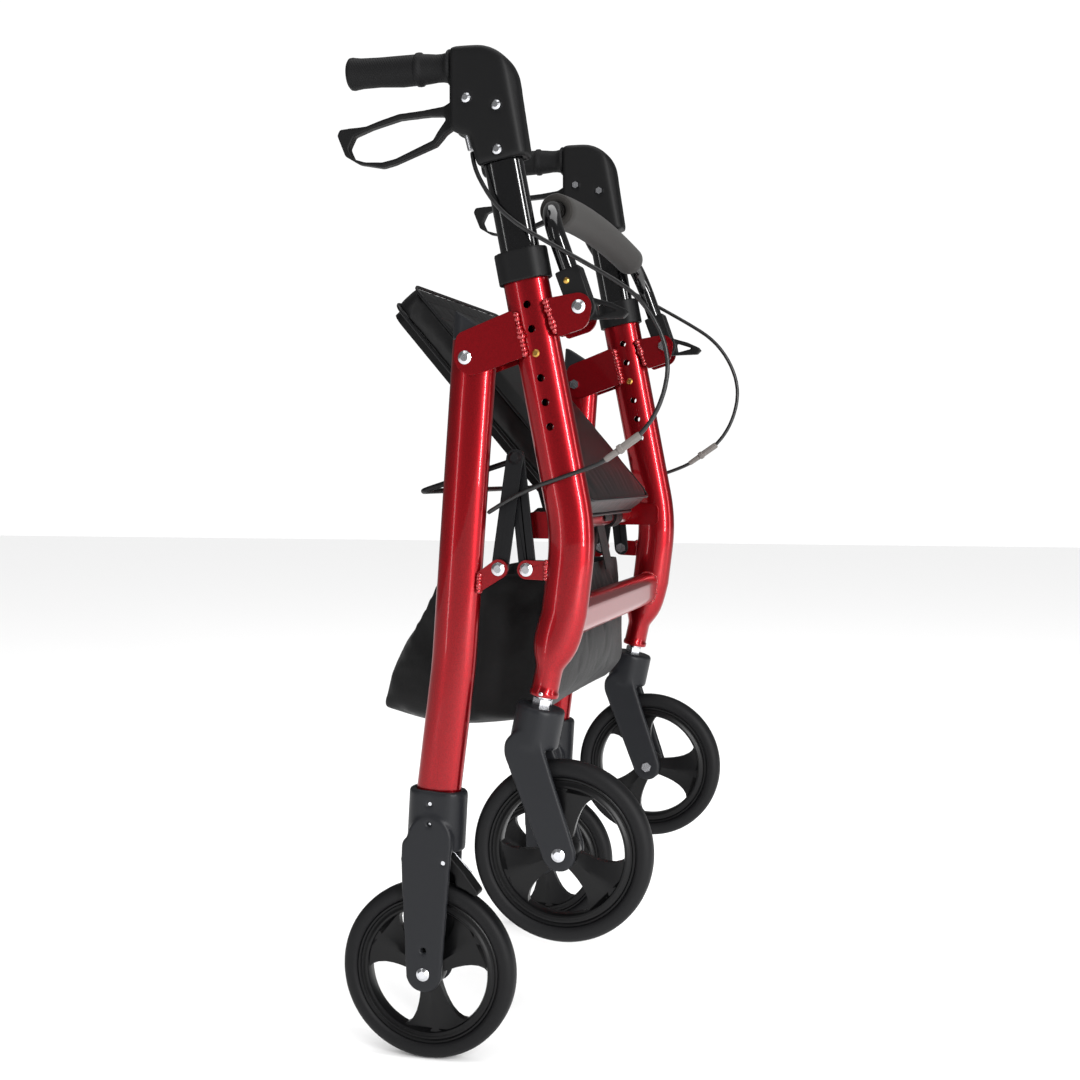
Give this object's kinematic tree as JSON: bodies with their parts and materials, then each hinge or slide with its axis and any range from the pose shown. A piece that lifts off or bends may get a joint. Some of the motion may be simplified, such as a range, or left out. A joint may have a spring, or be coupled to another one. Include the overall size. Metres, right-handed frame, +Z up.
{
  "type": "rollator walker",
  "caption": "Folding rollator walker in its folded pose: oval-tube side frames, swivel casters, hand brakes, flip-up padded seat, foam back bar and a hanging pouch.",
  "frame": {"origin": "on the floor under the rear wheels, at the middle of the walker's overall width and depth", "axes": "+Z up, the front of the walker towards -Y, its user's left towards +X"},
  "size_m": [0.5542, 0.3596, 1.0587],
  "materials": {
    "red": "metallic gloss",
    "black_metal": "gloss",
    "plastic": "matte",
    "grip": "textured",
    "steel": "polished",
    "brass": "satin",
    "tyre": "matte",
    "vinyl": "satin",
    "board": "matte",
    "nylon": "matte",
    "foam": "matte",
    "charcoal": "satin",
    "cable": "satin"
  },
  "bodies": {
    "frame": {"post_r": "red", "post_l": "red", "crossbar_lower": "red", "crossbar_upper": "red", "rear_bracket_r": "red", "rear_bracket_l": "red", "front_bracket_r": "red", "front_bracket_l": "red", "front_tabs": "red", "collar_r": "plastic", "collar_l": "plastic", "frame_bolts": "steel", "bag": "nylon", "brake_cable_r": "cable", "brake_cable_l": "cable"},
    "handle_r": {"handle_tube_r": "black_metal", "housing_r": "plastic", "grip_r": "grip", "handle_bolts_r": "steel"},
    "lever_r": {"brake_lever_r": "plastic"},
    "button_r": {"push_button_r": "brass"},
    "leg_r": {"rear_leg_r": "red", "leg_cap_r": "charcoal", "rear_tab_r": "red", "rear_fork_r": "charcoal", "rear_bolts_r": "steel"},
    "back_wheel_r": {"rear_wheel_r": "tyre"},
    "shoe_r": {"brake_shoe_r": "plastic"},
    "rear_link_r": {"rear_link_r": "black_metal"},
    "front_link_r": {"front_link_r": "black_metal"},
    "caster_r": {"caster_fork_r": "charcoal", "caster_stem_r": "steel"},
    "front_wheel_r": {"caster_wheel_r": "tyre"},
    "handle_l": {"handle_tube_l": "black_metal", "housing_l": "plastic", "grip_l": "grip", "handle_bolts_l": "steel"},
    "lever_l": {"brake_lever_l": "plastic"},
    "button_l": {"push_button_l": "brass"},
    "leg_l": {"rear_leg_l": "red", "leg_cap_l": "charcoal", "rear_tab_l": "red", "rear_fork_l": "charcoal", "rear_bolts_l": "steel"},
    "back_wheel_l": {"rear_wheel_l": "tyre"},
    "shoe_l": {"brake_shoe_l": "plastic"},
    "rear_link_l": {"rear_link_l": "black_metal"},
    "front_link_l": {"front_link_l": "black_metal"},
    "caster_l": {"caster_fork_l": "charcoal", "caster_stem_l": "steel"},
    "front_wheel_l": {"caster_wheel_l": "tyre"},
    "hoop": {"hoop": "black_metal"},
    "seat_clamps": {"seat_clamps": "board"},
    "seat": {"seat_cushion": "vinyl", "seat_board": "board"},
    "back": {"back_bar": "black_metal", "back_foam": "foam", "back_socket_r": "plastic", "back_socket_l": "plastic"}
  },
  "joints": [
    {"name": "fold_r", "type": "hinge", "parent": "frame", "child": "leg_r", "pos_m": [-0.2475, 0.038, 0.74], "axis": [1, 0, 0], "range_deg": [0, 54], "deforming": ["brake_cable_r"]},
    {"name": "front_link_r", "type": "hinge", "parent": "frame", "child": "front_link_r", "pos_m": [-0.245, -0.0235, 0.5215], "axis": [1, 0, 0], "range_deg": [-56.6, 0]},
    {"name": "rear_link_r", "type": "hinge", "parent": "leg_r", "child": "rear_link_r", "pos_m": [-0.25, 0.0052, 0.522], "axis": [1, 0, 0], "range_deg": [0, 33.2]},
    {"name": "handle_slide_r", "type": "slide", "parent": "frame", "child": "handle_r", "axis": [0, 0.1908, 0.9816], "range_m": [-0.0508, 0.0508], "deforming": ["brake_cable_r"]},
    {"name": "brake_lever_r", "type": "hinge", "parent": "handle_r", "child": "lever_r", "pos_m": [-0.2475, 0.03642, 1.00425], "axis": [1, 0, 0], "range_deg": [-8, 12], "stiffness_Nm_per_rad": 1.5},
    {"name": "push_button_r", "type": "slide", "parent": "frame", "child": "button_r", "axis": [1, 0, 0], "range_m": [0, 0.0035], "stiffness_N_per_m": 300},
    {"name": "rear_wheel_r", "type": "hinge", "parent": "leg_r", "child": "back_wheel_r", "pos_m": [-0.2475, 0.084, 0.095], "axis": [1, 0, 0], "continuous": true},
    {"name": "brake_shoe_r", "type": "hinge", "parent": "leg_r", "child": "shoe_r", "pos_m": [-0.2475, 0.062, 0.214], "axis": [1, 0, 0], "range_deg": [0, 3.6], "stiffness_Nm_per_rad": 1},
    {"name": "caster_swivel_r", "type": "hinge", "parent": "frame", "child": "caster_r", "pos_m": [-0.2475, -0.03875, 0.37953], "axis": [0, -0.2079, 0.9781], "range_deg": [-90, 90]},
    {"name": "caster_wheel_r", "type": "hinge", "parent": "caster_r", "child": "front_wheel_r", "pos_m": [-0.2475, -0.06225, 0.23038], "axis": [1, 0, 0], "continuous": true},
    {"name": "fold_l", "type": "hinge", "parent": "frame", "child": "leg_l", "pos_m": [0.2475, 0.038, 0.74], "axis": [1, 0, 0], "range_deg": [0, 54], "deforming": ["brake_cable_l"]},
    {"name": "front_link_l", "type": "hinge", "parent": "frame", "child": "front_link_l", "pos_m": [0.245, -0.0235, 0.5215], "axis": [1, 0, 0], "range_deg": [-56.6, 0]},
    {"name": "rear_link_l", "type": "hinge", "parent": "leg_l", "child": "rear_link_l", "pos_m": [0.25, 0.0052, 0.522], "axis": [1, 0, 0], "range_deg": [0, 33.2]},
    {"name": "handle_slide_l", "type": "slide", "parent": "frame", "child": "handle_l", "axis": [0, 0.1908, 0.9816], "range_m": [-0.0508, 0.0508], "deforming": ["brake_cable_l"]},
    {"name": "brake_lever_l", "type": "hinge", "parent": "handle_l", "child": "lever_l", "pos_m": [0.2475, 0.03642, 1.00425], "axis": [1, 0, 0], "range_deg": [-8, 12], "stiffness_Nm_per_rad": 1.5},
    {"name": "push_button_l", "type": "slide", "parent": "frame", "child": "button_l", "axis": [1, 0, 0], "range_m": [0, 0.0035], "stiffness_N_per_m": 300},
    {"name": "rear_wheel_l", "type": "hinge", "parent": "leg_l", "child": "back_wheel_l", "pos_m": [0.2475, 0.084, 0.095], "axis": [1, 0, 0], "continuous": true},
    {"name": "brake_shoe_l", "type": "hinge", "parent": "leg_l", "child": "shoe_l", "pos_m": [0.2475, 0.062, 0.214], "axis": [1, 0, 0], "range_deg": [0, 3.6], "stiffness_Nm_per_rad": 1},
    {"name": "caster_swivel_l", "type": "hinge", "parent": "frame", "child": "caster_l", "pos_m": [0.2475, -0.03875, 0.37953], "axis": [0, -0.2079, 0.9781], "range_deg": [-90, 90]},
    {"name": "caster_wheel_l", "type": "hinge", "parent": "caster_l", "child": "front_wheel_l", "pos_m": [0.2475, -0.06225, 0.23038], "axis": [1, 0, 0], "continuous": true},
    {"name": "hoop_turn", "type": "hinge", "parent": "front_link_r", "child": "hoop", "pos_m": [0, -0.01115, 0.63684], "axis": [1, 0, 0], "range_deg": [0, 104.05]},
    {"name": "seat_follow", "type": "hinge", "parent": "frame", "child": "seat_clamps", "pos_m": [0, -0.028, 0.567], "axis": [1, 0, 0], "range_deg": [-34.7, 0]},
    {"name": "seat_flip", "type": "hinge", "parent": "seat_clamps", "child": "seat", "pos_m": [0, -0.028, 0.567], "axis": [1, 0, 0], "range_deg": [0, 38]},
    {"name": "back_turn", "type": "hinge", "parent": "frame", "child": "back", "pos_m": [0, -0.082, 0.789], "axis": [1, 0, 0], "range_deg": [0, 90]}
  ],
  "couplings": [
    {"joint": "fold_l", "follows": "fold_r", "ratio": 1},
    {"joint": "front_link_r", "follows": "fold_r", "ratio": -1.0478},
    {"joint": "rear_link_r", "follows": "fold_r", "ratio": 0.61376},
    {"joint": "front_link_l", "follows": "fold_r", "ratio": -1.0478},
    {"joint": "rear_link_l", "follows": "fold_r", "ratio": 0.61376},
    {"joint": "hoop_turn", "follows": "fold_r", "ratio": 1.9259},
    {"joint": "seat_follow", "follows": "fold_r", "ratio": -0.64167}
  ]
}
